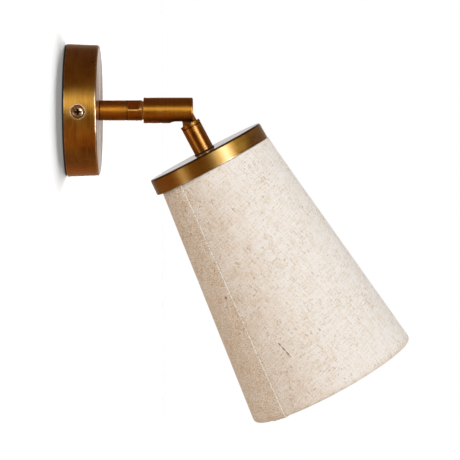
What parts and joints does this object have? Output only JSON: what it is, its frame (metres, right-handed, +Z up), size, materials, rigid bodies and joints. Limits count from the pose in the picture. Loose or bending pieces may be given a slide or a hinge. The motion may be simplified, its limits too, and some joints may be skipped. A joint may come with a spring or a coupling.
{
  "type": "fabric shade wall light",
  "caption": "Wall light with a round brass canopy, a short swivelling and tilting arm, and a tapered linen shade under a shallow brass cap.",
  "frame": {"origin": "centre of the wall bracket's back, on the wall plane, between its two screw slots and on the arm's axis", "axes": "+X out of the wall along the arm, +Z up, +Y across; the head hangs in the XZ plane at rest"},
  "size_m": [0.2603, 0.1348, 0.2873],
  "materials": {
    "aged_brass": "circumferentially brushed, aged to a warm brown in patches",
    "screw_brass": "paler brushed brass, cross and slot recess",
    "zinc_steel": "zinc plated",
    "dark_steel": "phosphated spring steel",
    "bright_brass": "plain turned brass",
    "black_rubber": "matt black",
    "black_nylon": "matt black",
    "terminal_polyamide": "natural white",
    "black_phenolic": "moulded black, soft gloss",
    "holder_ceramic": "glazed white porcelain",
    "flex_sleeve": "white PVC sheath",
    "core_sleeve": "coloured core insulation",
    "white_wire": "white powder coat",
    "shade_lining": "satin white styrene",
    "natural_linen": "plain weave slubby linen, natural",
    "frosted_glass": "satin white",
    "bulb_metal": "rolled thread, nickel plated",
    "bulb_insulation": "black glass"
  },
  "bodies": {
    "wall_base": {"wall_bracket": "zinc_steel", "wall_gasket": "black_rubber", "canopy": "aged_brass", "side_screws": "screw_brass", "earth_screw": "bright_brass", "earth_washer": "bright_brass", "earth_eyelet": "zinc_steel", "terminal_block": "terminal_polyamide", "terminal_inserts": "bright_brass", "clamp_screws": "zinc_steel", "block_screw": "zinc_steel", "star_washer": "zinc_steel", "lock_nut": "zinc_steel", "stem_nipple": "zinc_steel", "stem": "aged_brass", "swivel_base": "aged_brass", "swivel_washer": "black_nylon", "swivel_clip": "dark_steel", "supply_flex": "flex_sleeve", "flex_cores": "core_sleeve"},
    "knuckle": {"knuckle_barrel": "aged_brass", "wave_washer": "dark_steel", "pivot_yoke": "aged_brass", "pivot_pin": "zinc_steel", "tilt_washers": "black_nylon", "joint_flex": "core_sleeve"},
    "head": {"tilt_tongue": "aged_brass", "neck_tube": "aged_brass", "neck_nipple": "zinc_steel", "neck_washer": "black_nylon", "shade_cap": "aged_brass", "cap_washer": "zinc_steel", "cap_nut": "zinc_steel", "neck_flex": "flex_sleeve", "lampholder_cap": "black_phenolic", "lampholder_insert": "holder_ceramic", "lampholder_skirt": "black_phenolic", "holder_contacts": "bright_brass", "shade_ring": "black_phenolic", "bulb_tip_contact": "zinc_steel", "bulb_insulator": "bulb_insulation", "bulb_shell": "bulb_metal", "bulb_glass": "frosted_glass", "shade_spider": "white_wire", "bottom_ring": "white_wire", "shade_liner": "shade_lining", "linen_cover": "natural_linen"}
  },
  "joints": [
    {"name": "arm_swivel", "type": "hinge", "parent": "wall_base", "child": "knuckle", "pos_m": [0.0582, 0, 0], "axis": [1, 0, 0], "range_deg": [-175, 175]},
    {"name": "shade_tilt", "type": "hinge", "parent": "knuckle", "child": "head", "pos_m": [0.0879, 0, 0], "axis": [0, 1, 0], "range_deg": [-62, 27.5], "deforming": ["joint_flex"]}
  ]
}
